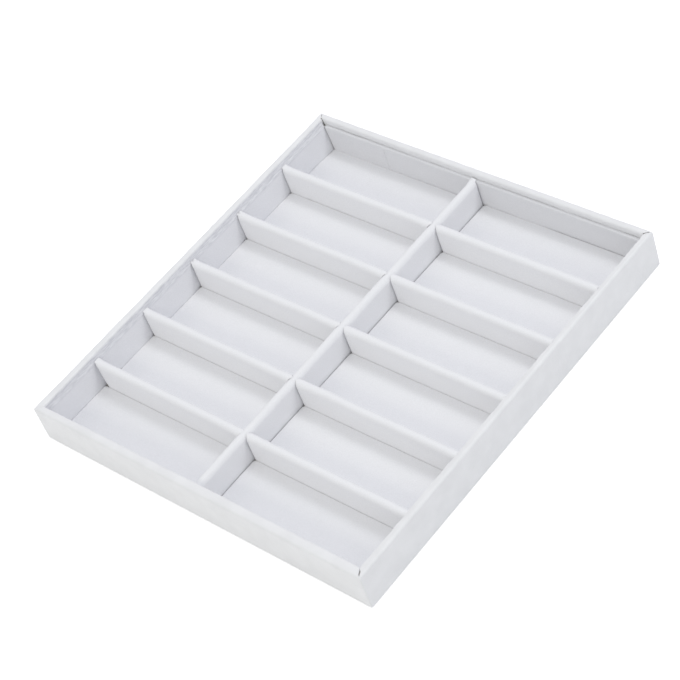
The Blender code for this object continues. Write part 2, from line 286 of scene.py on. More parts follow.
def quads(a, b):
    """Faces between each pair of neighbours in index row a and the pair beside it in row b."""
    return np.stack([a[..., :-1], a[..., 1:], b[..., 1:], b[..., :-1]], axis=-1).reshape(-1, 4)


def stacked_rings(name, points, finish):
    """A closed body from points[ring, place round it]. The first and last rings lie on a line and weld."""
    rings, count = points.shape[:2]
    index = np.arange(rings * count).reshape(rings, count)
    index = np.hstack([index, index[:, :1]])
    return finish_mesh(name, points, quads(index[:-1], index[1:]), finish)


def sheet_shell(name, strips, finish, capped_from=0):
    """A closed sheet from strips of (front, back) grids of points[across, along].

    The front and back skins are joined along both long edges, and across both ends from row capped_from on.
    Rows before capped_from meet the next strip's and weld to them.
    """
    all_points, all_faces, start = [], [], 0
    for front, back in strips:
        f = np.arange(front.shape[0] * front.shape[1]).reshape(front.shape[:2]) + start
        b = f + f.size
        start += 2 * f.size
        ends = [quads(f[capped_from:, c], b[capped_from:, c]) for c in (0, -1)]
        edges = [quads(f[r], b[r]) for r in (0, -1)]
        all_faces += [quads(f[:-1], f[1:]), quads(b[:-1], b[1:]), *edges, *ends]
        all_points += [front.reshape(-1, 3), back.reshape(-1, 3)]
    return finish_mesh(name, np.concatenate(all_points), np.concatenate(all_faces), finish)


def ripple(points, wavelength, height, seed):
    """Smooth unevenness, three numbers a point: height / sqrt(6) * sum of 12 sines sin(k . p + phase).

    Each k has a random direction, and a length of 2 pi / wavelength divided by a number from 0.7 to 1.4.
    """
    rng = np.random.default_rng(seed)
    k = rng.normal(size=(3, 12, 3))
    length = np.linalg.norm(k, axis=-1, keepdims=True)
    k *= 2 * np.pi / (wavelength * rng.uniform(0.7, 1.4, (3, 12, 1)) * length)
    phase = rng.uniform(0, 2 * np.pi, (3, 12))
    waves = np.sin(np.einsum("...p,cwp->...cw", points, k) + phase)
    return height / math.sqrt(6) * waves.sum(axis=-1)


def round_steps(start, stop, steps):
    """Angles in radians from start to stop degrees."""
    return np.radians(np.linspace(start, stop, steps + 1))


def eased(share):
    """0 up to 0, 1 from 1 on, and 3 s^2 - 2 s^3 between them."""
    share = np.clip(share, 0, 1)
    return share * share * (3 - 2 * share)


# %% [markdown]
# ## The wrap
# The leatherette is one strip. Its section starts at the hem under the base, goes round the foot, up the
# outer face, over the rim and down inside behind the lining. The section is drawn once as points with the
# direction that each faces, so the back skin is the same curve moved in by the sheet's thickness.
#
# Each rim falls inward a little, and its width varies along the tray, because the turned-in leatherette
# stands off the board in places.

# %% Section of the wrap
wrap_low, wrap_high = (np.array(corner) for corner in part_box("leatherette_wrap"))
SKIN = 0.4 * MM
RIM_WIDTH = 6.4 * MM
CORNER = 1.4 * MM
FOOT = 1.0 * MM
HEM = 12.0 * MM
TURN_IN = 12.0 * MM
# How many degrees each side's rim falls inward
RIM_FALL = {"front": 6.0, "right": 14.0, "rear": 14.0, "left": 8.0}
# Each side, walking round: the rim's width at equal steps from its start to its end, in millimetres
RIM_WIDTHS = {
    "front": (6.6, 7.1, 7.5, 7.8, 8.4, 8.3, 8.5, 8.4),
    "right": (6.7, 6.8, 6.6, 6.6, 6.4, 6.2, 5.8, 5.9),
    "rear": (6.2, 6.2, 6.1),
    "left": (6.0, 6.3, 6.6, 6.9),
}
# The radii of the rim's outer edge and of its inner edge
OUTER_RADIUS = {"front": 2.6 * MM, "right": 2.2 * MM, "rear": 2.4 * MM, "left": 2.6 * MM}
INNER_RADIUS = {"front": 0.9 * MM, "right": 0.9 * MM, "rear": 2.1 * MM, "left": 2.0 * MM}
# What the outer radius and the fall come down to at the corners, and from how far away
CORNER_RADIUS = 2.0 * MM
CORNER_FALL = 6.0
TIGHTENS = 40.0 * MM


def wrap_section(outer, inner, fall):
    """(inset, z, facing) rows of the front skin: lines and arcs in turn, each tangent to the next.

    outer and inner are the radii of the rim's edges. Its top falls by so many degrees from one to the other.
    """
    low, top = wrap_low[2], wrap_high[2]
    slope = math.radians(fall)
    facing = np.array([math.sin(slope), math.cos(slope)])
    outer_centre = np.array([outer, top - outer])
    start = outer_centre + outer * facing
    stop_inset = RIM_WIDTH - inner + inner * facing[0]
    stop = np.array([stop_inset, start[1] - (stop_inset - start[0]) * math.tan(slope)])
    inner_centre = stop - inner * facing
    rows = []

    def line(start, end, facing, steps):
        t = np.linspace(0, 1, steps + 1)[:, None]
        rows.append(np.hstack([(1 - t) * start + t * end, np.tile(facing, (steps + 1, 1))]))

    def arc(centre, radius, start, stop, steps):
        a = round_steps(start, stop, steps)[1:-1, None]
        facing = np.hstack([np.cos(a), np.sin(a)])
        rows.append(np.hstack([centre + radius * facing, facing]))

    line(np.array([HEM, low]), np.array([FOOT, low]), (0, -1), 5)
    arc((FOOT, low + FOOT), FOOT, -90, -180, 5)
    line(np.array([0, low + FOOT]), np.array([0, top - outer]), (-1, 0), 14)
    arc(outer_centre, outer, 180, 90 - fall, 8)
    line(start, stop, facing, 7)
    arc(inner_centre, inner, 90 - fall, 0, 7)
    line(np.array([RIM_WIDTH, inner_centre[1]]), np.array([RIM_WIDTH, top - TURN_IN]), (1, 0), 12)
    return np.concatenate(rows)


print("rows across the wrap:", len(wrap_section(2 * MM, 1 * MM, 0.0)))

# %% [markdown]
# ## The corners of the wrap
# The strip is carried along each side up to the diagonals of the corners. Outside a corner it bends round
# the edge of the board. On the rim it can't, so it is slit, and the cut ends curl down a little. Two of the
# slits stand open, and none was cut quite on the diagonal.

# %% Wrap along each side
# Where the straight part ends, and the share of the way from there to the diagonal where the bend starts
STRAIGHT_END = 15.0 * MM
ARC_SHARE = 0.75
# Further in than CORNER the bend turns into a mitre over this length
MITRE_REACH = 3.0 * MM
# A slit starts this far in from the outer face, and on this share of the outer edge's rounding. It is open
# after one part in SLIT_SHARPNESS of its way over the rim.
SLIT_START = 1.4 * MM
SLIT_RISE = 0.7
SLIT_SHARPNESS = 6
# The ends give from this share of the way to the diagonal on, and their back skin sinks no deeper than this
GIVES_FROM = 0.8
BACK_SINKS = 0.25 * MM
# Distances from the diagonal of the columns near a corner
CORNER_COLUMNS = np.array([15, 12, 9.5, 7, 5, 3.75, 3.2, 2.5, 1.9, 1.4, 1.0, 0.7, 0.45, 0.25, 0.1, 0]) * MM
# Each corner's slit, in millimetres: half its width at the outer edge, at the inner edge and SLIT_DEPTH below
# that, how far its ends curl down, and how high the second side's end is lifted
SLIT_DEPTH = 6.0 * MM
SLITS = {
    "front_left": (0.04, 0.04, 0.04, 0.10, 0.0),
    "front_right": (0.55, 0.10, 0.10, 0.50, 0.0),
    "rear_right": (0.35, 0.03, 0.05, 0.40, -0.3),
    "rear_left": (0.04, 0.10, 0.10, 0.50, -0.2),
}
# How far the slit strays from the diagonal, to the side that comes first, at four places from the outside
# in. Below the rim it strays no more: that fades out within STRAY_FADE of the top.
STRAYS = {
    "front_left": (0.0, 0.3, 0.2, 0.0),
    "front_right": (0.4, 0.2, 0.0, 0.0),
    "rear_right": (0.0, -0.6, -1.5, -1.8),
    "rear_left": (0.9, 1.2, -0.4, -2.1),
}
STRAY_PLACES = (0.0, 0.25, 0.65, 1.0)
STRAY_FADE = 2.0 * MM
# A rim wider than RIM_WIDTH gets its width over the first length, and gives it back from the second on,
# measured down from the top, over the third
WIDENS = 1.8 * MM
LEVEL = 1.8 * MM
RETURNS = 4.0 * MM
# Unevenness, (wavelength, height), of the whole skin and of the rim. The first starts this far above the
# table, the second this far below the top, and both come in over the same height.
SKIN_WAVES = (45 * MM, 0.05 * MM)
RIM_WAVES = (9 * MM, 0.06 * MM)
SKIN_WAVES_FROM = 1.5 * MM
RIM_WAVES_FROM = 6.0 * MM
WAVES_OVER = 4.0 * MM
# The skin puckers where it faces both in and up: on the inner edge, and on a rim that falls inward enough.
# There the product of the two parts of its facing is over PUCKERED.
PUCKERED = 0.15
PUCKER_LENGTH = 3.5 * MM
PUCKERS = {"front": 0.04 * MM, "right": 0.09 * MM, "rear": 0.05 * MM, "left": 0.05 * MM}


def blended(common, own, away):
    """Sections near a corner, (row, column, 4): common + eased(away / TIGHTENS) * (own - common)."""
    return common[:, None] + eased(away / TIGHTENS)[..., None] * (own - common)[:, None]


def pulled(section, width):
    """How much further in than RIM_WIDTH each row lies where the rim has this width.

    A wider rim stands off its board and comes back to it lower down. A narrower one is narrower all the way.
    """
    over = width - RIM_WIDTH
    inset, z = section[..., 0], section[..., 1]
    share = np.clip((inset - CORNER) / WIDENS, 0, 1) * (z > wrap_high[2] / 2)
    back = np.clip((z - wrap_high[2] + LEVEL + RETURNS) / RETURNS, 0, 1)
    return share * over * np.where(over > 0, back, 1)


def first_open_row(section):
    """The row where a slit starts, on the rounding of the outer edge."""
    return int(np.argmax(section[:, 1] > wrap_high[2] - CORNER_RADIUS * SLIT_RISE))


def strip_end(inset, other, half_length, share):
    """(along, inset) at a share of the way from the straight part to the diagonal.

    Inside CORNER the strip turns round an arc of radius CORNER - inset. Past it the ends meet in a mitre, at
    the next side's inset, which is other.
    """
    straight = half_length - STRAIGHT_END
    to_arc = STRAIGHT_END - CORNER
    angle = np.clip((share - ARC_SHARE) / (1 - ARC_SHARE), 0, 1) * np.pi / 4
    radius = np.maximum(CORNER - inset, 0)
    round_along = straight + np.minimum(share / ARC_SHARE, 1) * to_arc + radius * np.sin(angle)
    round_inset = inset + radius * (1 - np.cos(angle))
    blend = np.clip((inset - CORNER) / MITRE_REACH, 0, 1)
    along = (1 - blend) * np.minimum(share / ARC_SHARE, 1) + blend * share
    mitred = straight + along * (half_length - other - straight)
    return np.where(inset < CORNER, round_along, mitred), round_inset


def wrap_side(common, own, half_length, half_width, columns, widths, neighbours, slits):
    """Front and back skins of one side, along +x with its outer face at -y. slits are its two ends'."""
    away = CORNER_COLUMNS[None, :]
    share = 1 - away / STRAIGHT_END
    run = np.linspace(-1, 1, columns)[None, 1:-1]
    middle = run * (half_length - STRAIGHT_END)
    middle_widths = np.interp(run, np.linspace(-1, 1, len(widths)), widths)
    ends = ((slits[0], -1, widths[0], neighbours[0]), (slits[1], 1, widths[-1], neighbours[1]))
    # way goes from 0 where the slit starts to 1 at the inner edge, and down from 0 there to 1 at SLIT_DEPTH
    way = np.clip((common[:, 0:1] - SLIT_START) / (RIM_WIDTH - SLIT_START), 0, 1)
    below = wrap_high[2] - common[:, 1:2]
    down = np.clip(below / SLIT_DEPTH, 0, 1) * (way > 0.99)
    on_top = 1 - np.clip(below / STRAY_FADE, 0, 1) * (way > 0.9)
    opened = (np.arange(len(common))[:, None] > first_open_row(common)) & (way > 0)
    start = np.minimum(way * SLIT_SHARPNESS, 1)
    near_end = blended(common, own, away)
    straight = blended(common, own, half_length - np.abs(middle))
    skins = []
    for depth in (0.0, SKIN):
        inset = near_end[..., 0] - near_end[..., 2] * depth
        z = near_end[..., 1] - near_end[..., 3] * depth
        pieces = []
        for slit, sign, width, next_rim in ends:
            outer, inner, foot, curl, lift = np.array(SLITS[slit]) * MM
            along, across = strip_end(
                inset + pulled(near_end, width), inset + pulled(near_end, next_rim), half_length, share
            )
            near = np.clip((share - GIVES_FROM) / (1 - GIVES_FROM), 0, 1)
            gap = (outer + (inner - outer) * way + (foot - inner) * down) * start * math.sqrt(2)
            gap = gap + sign * np.interp(way, STRAY_PLACES, STRAYS[slit]) * MM * start * on_top
            along = along - np.where(opened, gap * near, 0)
            sunk = curl - np.sqrt(np.maximum(curl**2 - np.maximum(curl - away, 0) ** 2, 0))
            sunk = np.where(opened, np.minimum(sunk, curl if depth == 0 else BACK_SINKS), 0) * start
            raised = np.where(opened, sign * lift * near**2 * near_end[..., 3] * start, 0)
            across = across - near_end[..., 2] * sunk
            height = z - near_end[..., 3] * sunk + raised
            end = np.stack([sign * along, across - half_width, height], axis=-1)
            pieces.append(end[:, ::-1] if sign < 0 else end)
        row = straight[..., 0] - straight[..., 2] * depth + pulled(straight, middle_widths)
        height = straight[..., 1] - straight[..., 3] * depth
        side = np.stack(np.broadcast_arrays(middle, row - half_width, height), axis=-1)
        skins.append(np.concatenate([pieces[0], side, pieces[1]], axis=1))
    return skins


def turned(points, quarter):
    """Points turned about the z axis by a number of quarter turns."""
    c, s = round(math.cos(quarter * math.pi / 2)), round(math.sin(quarter * math.pi / 2))
    return points @ np.array([[c, s, 0], [-s, c, 0], [0, 0, 1]], dtype=float)


half_x, half_y = (wrap_high[:2] - wrap_low[:2]) / 2
sides = [
    ("front", half_x, half_y, 120, ("front_left", "front_right")),
    ("right", half_y, half_x, 130, ("front_right", "rear_right")),
    ("rear", half_x, half_y, 120, ("rear_right", "rear_left")),
    ("left", half_y, half_x, 130, ("rear_left", "front_left")),
]
rims = {name: np.array(widths) * MM for name, widths in RIM_WIDTHS.items()}
strips = []
for quarter, (name, length, width, columns, slits) in enumerate(sides):
    common = wrap_section(CORNER_RADIUS, INNER_RADIUS[name], CORNER_FALL)
    own = wrap_section(OUTER_RADIUS[name], INNER_RADIUS[name], RIM_FALL[name])
    neighbours = (rims[sides[quarter - 1][0]][-1], rims[sides[(quarter + 1) % 4][0]][0])
    skins = wrap_side(common, own, length, width, columns, rims[name], neighbours, slits)
    skins = [turned(skin, quarter) for skin in skins]
    on_rim = np.clip((own[:, 1] - wrap_high[2] + RIM_WAVES_FROM) / WAVES_OVER, 0, 1)[:, None, None]
    puckered = (own[:, 2] * own[:, 3] > PUCKERED)[:, None, None]
    off_table = np.clip((own[:, 1] - SKIN_WAVES_FROM) / WAVES_OVER, 0, 1)[:, None, None]
    moved = ripple(skins[0], *SKIN_WAVES, 1) + on_rim * ripple(skins[0], *RIM_WAVES, 2)
    moved += puckered * ripple(skins[0], PUCKER_LENGTH, PUCKERS[name], 3)
    strips.append([skin + moved * off_table for skin in skins])
wrap = sheet_shell("leatherette_strip", strips, leatherette, first_open_row(common))
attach(wrap, "root")
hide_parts("leatherette_wrap")
print(wrap.name, len(wrap.data.polygons), "faces")

# %% [markdown]
# ## Stacked outlines
# A divider's sleeve is a stack of rings: rounded rectangles that shrink over the crown until they close on
# its ridge, and the same again for the inside of the cloth. A floor card is such a stack too, only flatter.
# The outline is a fixed list of multipliers, so all the rings of a piece are worked out in one step.


# %% Outline
def outline(long_steps, short_steps, corner_steps):
    """Multipliers (t, c) of a rounded rectangle: a point is t * (half size - radius) + c * radius."""
    t, c = [], []
    for quarter, (sx, sy) in enumerate(((1, 1), (-1, 1), (-1, -1), (1, -1))):
        a = round_steps(90 * quarter, 90 * quarter + 90, corner_steps)
        t.append(np.tile((sx, sy), (len(a), 1)))
        c.append(np.stack([np.cos(a), np.sin(a)], axis=1))
        steps = long_steps if quarter % 2 == 0 else short_steps
        run = np.linspace(1, -1, steps + 1)[1:-1, None]
        nx, ny = ((-sx, sy) if quarter % 2 == 0 else (sx, -sy))
        t.append((np.array([sx, sy]) * (1 + run) + np.array([nx, ny]) * (1 - run)) / 2)
        c.append(np.tile((math.cos(a[-1]), math.sin(a[-1])), (len(run), 1)))
    return np.concatenate(t), np.concatenate(c)


def rings(low, high, radius, z, template):
    """Points of stacked rounded rectangles: low and high are (ring, 2), radius and z one number a ring."""
    t, c = template
    radius = np.maximum(radius, 0)[:, None, None]
    middle, half = ((low + high) / 2)[:, None, :], ((high - low) / 2)[:, None, :]
    flat = middle + t * np.maximum(half - radius, 0) + c * radius
    return np.dstack([flat, np.broadcast_to(z[:, None], flat.shape[:2])])


print("points round an outline:", len(outline(64, 4, 5)[0]))

# %% [markdown]
# ## The velour sleeves
# A sleeve is glued over a padded strip, so it is straight, with a round crown. Its ends show that it was cut
# by hand. At the left wall the divider stands back from the lining below the crown, which leaves a dark
# wedge, and the crown's cloth runs on over the lining as a tip. The spine has such a tip at the rear wall. At
# the spine the cross dividers' ends are cut to follow its crown.

# %% Sleeves
CLOTH = 0.6 * MM
END_RADIUS = 0.8 * MM
CREST_SETBACK = 0.4 * MM
COLUMN_STEP = 2.5 * MM
# How far in from a face the crown's cloth starts to run on as a tip, and from where it is full
TIP_START = 2.4 * MM
TIP_FULL = 3.6 * MM
# How high a tip lies over the lining, over what length it rises, and how many times that length at most
TIP_LIFT = 0.6 * MM
TIP_RISE = 4.0 * MM
RISE_LIMIT = 1.3
# The crown is squarer at such an end, by this share of its rounding, over this length. The rounding is
# worked out for a width of at least NARROWEST, because the ridge has none.
SQUARED = 0.6
SQUARE_REACH = 7.0 * MM
NARROWEST = 0.1 * MM
# Unevenness, (wavelength, height), of a sleeve, and where it starts over the floor and is full
SLEEVE_WAVES = (38 * MM, 0.07 * MM)
SLEEVE_PILE = (8 * MM, 0.035 * MM)
UNEVEN_FROM = 1 * MM
UNEVEN_OVER = 8 * MM


def arch(half, foot, top, steps=9, levels=7):
    """(inset, z) from the ridge down to the foot: a quarter circle of radius half, then a straight side."""
    a = round_steps(90, 0, steps)
    inset = np.concatenate([half * (1 - np.cos(a)), np.zeros(levels)])
    z = np.concatenate([top - half * (1 - np.sin(a)), np.linspace(top - half, foot, levels + 1)[1:]])
    return inset, z


def sleeve(name, node, seed, shoulder=0.0, foot=0.0, far=0.0, tip=0.0, far_tip=0.0, mitres=(0.0, 0.0)):
    """Cloth over a divider: rings from the ridge down to the floor, then the same inside, CLOTH thinner.

    shoulder and foot are how far its first end stands back at the crown's foot and at the floor. far is how
    far the other end does below the crown. tip and far_tip are how far the crest runs on past each end. A
    mitre of 1 at an end follows the spine's crown, and a smaller one stops short of it.
    """
    low, high = (np.array(corner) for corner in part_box(node))
    long_axis = int(np.argmax((high - low)[:2]))
    half = (high - low)[1 - long_axis] / 2
    crown_foot = high[2] - half
    skins = []
    for skin in (0.0, CLOTH):
        inset, z = arch(half - skin, low[2], high[2] - skin)
        side_low = np.tile(low[:2], (len(z), 1)) + (inset + skin)[:, None]
        side_high = np.tile(high[:2], (len(z), 1)) - (inset + skin)[:, None]
        setback = skin + CREST_SETBACK * inset / half
        up = np.clip((z - crown_foot) / half, 0, 1)
        down = np.clip((crown_foot - z) / (crown_foot - low[2]), 0, 1)
        lean = shoulder * (1 - up) + (foot - shoulder) * down
        ahead = eased((inset - TIP_START) / (TIP_FULL - TIP_START)) * (skin == 0)
        side_low[:, long_axis] = low[long_axis] + setback + lean - tip * ahead - mitres[0] * inset
        side_high[:, long_axis] = high[long_axis] - setback - far * (1 - up) + far_tip * ahead
        side_high[:, long_axis] += mitres[1] * inset
        radius = END_RADIUS * np.clip(1 - (inset + skin) / half, 0, 1)
        steps = (int((high - low)[long_axis] / COLUMN_STEP), 4)
        template = outline(*(steps if long_axis == 0 else steps[::-1]), 5)
        ring_points = rings(side_low, side_high, radius, z, template)
        place = ring_points[..., long_axis]
        width = half - skin - inset[:, None]
        middle = (low + high)[1 - long_axis] / 2
        for present, beyond in ((tip, low[long_axis] - place), (far_tip, place - high[long_axis])):
            if present:
                near = np.clip((beyond + TIP_RISE) / TIP_RISE, 0, RISE_LIMIT)
                ring_points[..., 2] += near**2 * TIP_LIFT * ahead[:, None]
                rounding = inset[:, None] / np.maximum(width, NARROWEST)
                wider = 1 + SQUARED * eased(1 + beyond / SQUARE_REACH) * rounding
                across = ring_points[..., 1 - long_axis] - middle
                ring_points[..., 1 - long_axis] = middle + across * wider
        skins.append(ring_points)
    points = np.concatenate([skins[0], skins[1][::-1]])
    rise = np.clip((points[..., 2:] - low[2] - UNEVEN_FROM) / UNEVEN_OVER, 0, 1)
    moved = ripple(points, *SLEEVE_WAVES, seed) + ripple(points, *SLEEVE_PILE, seed + 1)
    piece = stacked_rings(name, points + rise * moved, velour)
    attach(piece, "root")
    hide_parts(node)
    width = 2 * (crown_foot - low[2]) + math.pi * half
    return piece


# The end of each left divider at the wall, front to rear, in millimetres: shoulder, foot and tip
LEFT_ENDS = ((2.5, 4.8, 1.3), (0.6, 1.3, 1.3), (1.9, 1.0, 1.2), (0.5, 1.3, 1.5), (0.3, 0.9, 1.4))
SPINE_TIP = 2.6 * MM
SPINE_GAP = 0.35 * MM
# The left dividers' ends follow the spine's crown, and the right ones' follow it less
FOLLOWS = {"left": (0.0, 1.0), "right": (0.6, 0.0)}
made = [sleeve("spine_velour", "spine_sleeve", 10, far=SPINE_GAP, far_tip=SPINE_TIP)]
for number, (shoulder, foot, tip) in enumerate(LEFT_ENDS, 1):
    at_wall = {"shoulder": shoulder * MM, "foot": foot * MM, "tip": tip * MM}
    for side, seed, shape in (("left", 20, at_wall), ("right", 40, {})):
        name, node = f"divider_velour_{side}_{number}", f"divider_sleeve_{side}_{number}"
        made.append(sleeve(name, node, seed + 2 * number, **shape, mitres=FOLLOWS[side]))
print("sleeves:", len(made), "faces each:", len(made[1].data.polygons))

# %% [markdown]
# ## The floor cards
# A floor card is a thin board with the pile bonded to it, dropped in after the dividers. Its corners are cut
# round and its edge is a small quarter circle. The left cards' left edges stand in by unlike amounts, because
# the lining's foot does, and the last one narrows towards the rear wall.

# %% Floor cards
CARD_CORNER = 2.5 * MM
CARD_EDGE = 0.4 * MM
# The visible gap round a card is narrower than the model's, because its pile fills it
PILE_REACH = 0.35 * MM
# How far the left edge of each left card stands in from the model's, front to rear, in millimetres, and how
# far the last one's does at its rear, where its corner is squarer by SQUARER
LEFT_EDGES = (0.4, 0.75, 1.2, 1.05, 1.1, 1.2)
REAR_CORNER = 2.9
SQUARER = 0.8 * MM
# Unevenness, (wavelength, height), and how far the whole face lies below the model's
CARD_WAVES = (35 * MM, 0.08 * MM)
CARD_DROP = 0.05 * MM


def floor_card(name, node, seed, left=(0.0, 0.0), square=0.0):
    """A flat card whose upper edge is a quarter circle, closed on a line above and below.

    left is how far its left edge stands in at its front and at its rear: front + (rear - front) * share ** 3.
    That fades out over the first third of the card's width. square is how far its left rear corner is filled.
    """
    low, high = (np.array(corner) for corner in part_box(node))
    low[:2] -= PILE_REACH
    high[:2] += PILE_REACH
    half = min((high - low)[:2]) / 2
    a = round_steps(90, 0, 5)
    inner = np.concatenate([[1.0], np.linspace(0.9, 0.05, 10), [0.02]]) * (half - CARD_EDGE) + CARD_EDGE
    inset = np.concatenate([inner, CARD_EDGE * (1 - np.cos(a)), [0.0], inner[::-1]])
    level = np.ones(len(inner))
    z = np.concatenate([high[2] * level, high[2] - CARD_EDGE * (1 - np.sin(a)), [low[2]], low[2] * level])
    side_low = low[:2] + inset[:, None]
    side_high = high[:2] - inset[:, None]
    points = rings(side_low, side_high, CARD_CORNER - inset, z, outline(64, 22, 6))
    share = (points[..., :2] - low[:2]) / (high - low)[:2]
    corner = np.clip(1 - (points[..., 0] - low[0]) / CARD_CORNER, 0, 1)
    corner = corner * np.clip(1 - (high[1] - points[..., 1]) / CARD_CORNER, 0, 1)
    moved_in = left[0] + (left[1] - left[0]) * share[..., 1] ** 3
    points[..., 0] += moved_in * np.clip(1 - 3 * share[..., 0], 0, 1) - square * corner
    points[..., 1] += square * corner
    lift = np.clip((points[..., 2:] - low[2]) / (high[2] - low[2]), 0, 1) * np.array([0, 0, 1])
    points = points + lift * (ripple(points, *CARD_WAVES, seed) - CARD_DROP)
    piece = stacked_rings(name, points, velour)
    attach(piece, "root")
    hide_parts(node)
    return piece


cards = []
for number, edge in enumerate(LEFT_EDGES, 1):
    last = number == len(LEFT_EDGES)
    left = (edge * MM, (REAR_CORNER if last else edge) * MM)
    names = (f"floor_velour_left_{number}", f"floor_card_left_{number}")
    cards.append(floor_card(*names, 80 + number, left, SQUARER if last else 0.0))
    cards.append(floor_card(f"floor_velour_right_{number}", f"floor_card_right_{number}", 70 + number))
print("floor cards:", len(cards), "faces each:", len(cards[0].data.polygons))

# %% [markdown]
# ## The lining strips
# Each strip of velour covers the face of its card and folds over the card's top edge. Cloth that folds over
# a thin card keeps a soft edge and sinks a little behind it. The rear strip lies fuller over its card, so
# its edge is rounder, and it was pieced from two lengths, so it has a narrow upright ridge where they lap.
# The left strip's card leans back. Its cloth runs on from the card up a steep slope to the wrap, and its foot
# stands in between the dividers.

# %% Lining strips
LINING = 0.4 * MM
# Each strip: radius of its top edge, how far its top reaches back past the card, how far its face leans
# back, and the slope at which its top runs back to the wall, in degrees
LINING_TOPS = {
    "front": (0.6 * MM, 0.0, 0.0, 0.0),
    "rear": (1.8 * MM, 0.3 * MM, 0.1 * MM, 0.0),
    "left": (1.6 * MM, 0.0, 0.8 * MM, 66.0),
    "right": (0.6 * MM, 0.0, 0.0, 0.0),
}
# A level top sinks this far behind its edge, and a lean is taken up over this height
TOP_DIP = 0.25 * MM
LEAN_HEIGHT = 5.0 * MM
# A sloping top starts this far below the card's top. There the lean is full down to one part in LEAN_FULL
# of the depth, and fades out from there to the wall.
SLOPE_START = 1.5 * MM
LEAN_FULL = 1.6
# The lap ridge: its place along x, its width and height, and where it ends below the top
LAP_PLACE = -98.5 * MM
LAP_WIDTH = 2.0 * MM
LAP_HEIGHT = 0.8 * MM
LAP_TOP = 2.0 * MM
LAP_FADE = 1.5 * MM
# How far a strip's foot stands in, in millimetres, at shares of the way along it
FEET = {
    "left": ((0.0, 0.1, 0.25, 0.42, 0.58, 0.75, 0.92, 1.0), (0.4, 0.4, 0.8, 1.25, 1.1, 1.15, 1.25, 2.9)),
    "rear": ((0.0, 0.2, 0.4, 0.6, 0.66, 0.75, 1.0), (0.6, 0.2, 0.0, 0.1, 0.4, -0.2, -0.3)),
}
# How far the back edge of the left strip's top stands off the model's, front to rear, in millimetres. The
# shift starts BACK_START behind the face.
LEFT_BACK = (0.3, 0.1, -0.2, -0.6)
BACK_START = 0.6 * MM
# The left strip is tucked in behind the ends of the dividers, by this share of what it stands in
TUCK = 4.0 * MM
TUCKED = 0.8
# Finer columns at the ends of a strip, and how far in from an end the cloth gives
END_COLUMNS = np.array([0, 0.5, 1.0, 1.6, 2.4, 3.4, 5.0]) * MM
END_REACH = 12.0 * MM
# At the rear left corner the left strip's top stops short, and the rear strip stands off from it. A high
# power of the height keeps the first to the top.
CORNER_HOLE = 1.7 * MM
HOLE_SHARPNESS = 14
CORNER_TOP = 0.1 * MM
CORNER_FOOT = 3.9 * MM
# Unevenness, (wavelength, height), and over what height above the foot it comes in
LINING_WAVES = (30 * MM, 0.05 * MM)
LINING_PILE = (6 * MM, 0.05 * MM)
LINING_OVER = 10 * MM


def lining_section(depth, foot, top, edge, reach, lean, slope):
    """(depth, z, facing) rows: up the face, an arc, and back over the top at a slope."""
    slope = math.radians(slope)
    centre = np.array([depth - edge, top - edge])
    if slope:
        centre[1] = top - SLOPE_START
    z = np.linspace(foot, centre[1], 14)
    face = np.stack([np.full(14, depth), z, np.ones(14), np.zeros(14)], axis=1)
    a = np.linspace(0, np.pi / 2 - slope, 9)[1:]
    arc = np.stack([centre[0] + edge * np.cos(a), centre[1] + edge * np.sin(a), np.cos(a), np.sin(a)], axis=1)
    back = np.linspace(arc[-1, 0], -reach, 7)[1:]
    rising = arc[-1, 1] + (arc[-1, 0] - back) * math.tan(slope)
    over = np.stack([back, rising, np.full(6, arc[-1, 2]), np.full(6, arc[-1, 3])], axis=1)
    rows = np.concatenate([face, arc, over])
    if slope:
        up = np.clip((rows[:, 1] - foot) / (top - foot), 0, 1)
        rows[:, 0] -= lean * up * np.minimum(rows[:, 0] / depth * LEAN_FULL, 1)
    else:
        up = np.clip((rows[:, 1] - top + LEAN_HEIGHT) / LEAN_HEIGHT, 0, 1)
        rows[:, 0] -= lean * up**2 * rows[:, 2]
    share = np.clip((depth - edge - rows[:, 0]) / (depth - edge), 0, 1)
    rows[:, 1] -= np.where(rows[:, 3] > 0.99, TOP_DIP * np.sin(np.pi * share) ** 2, 0)
    return rows


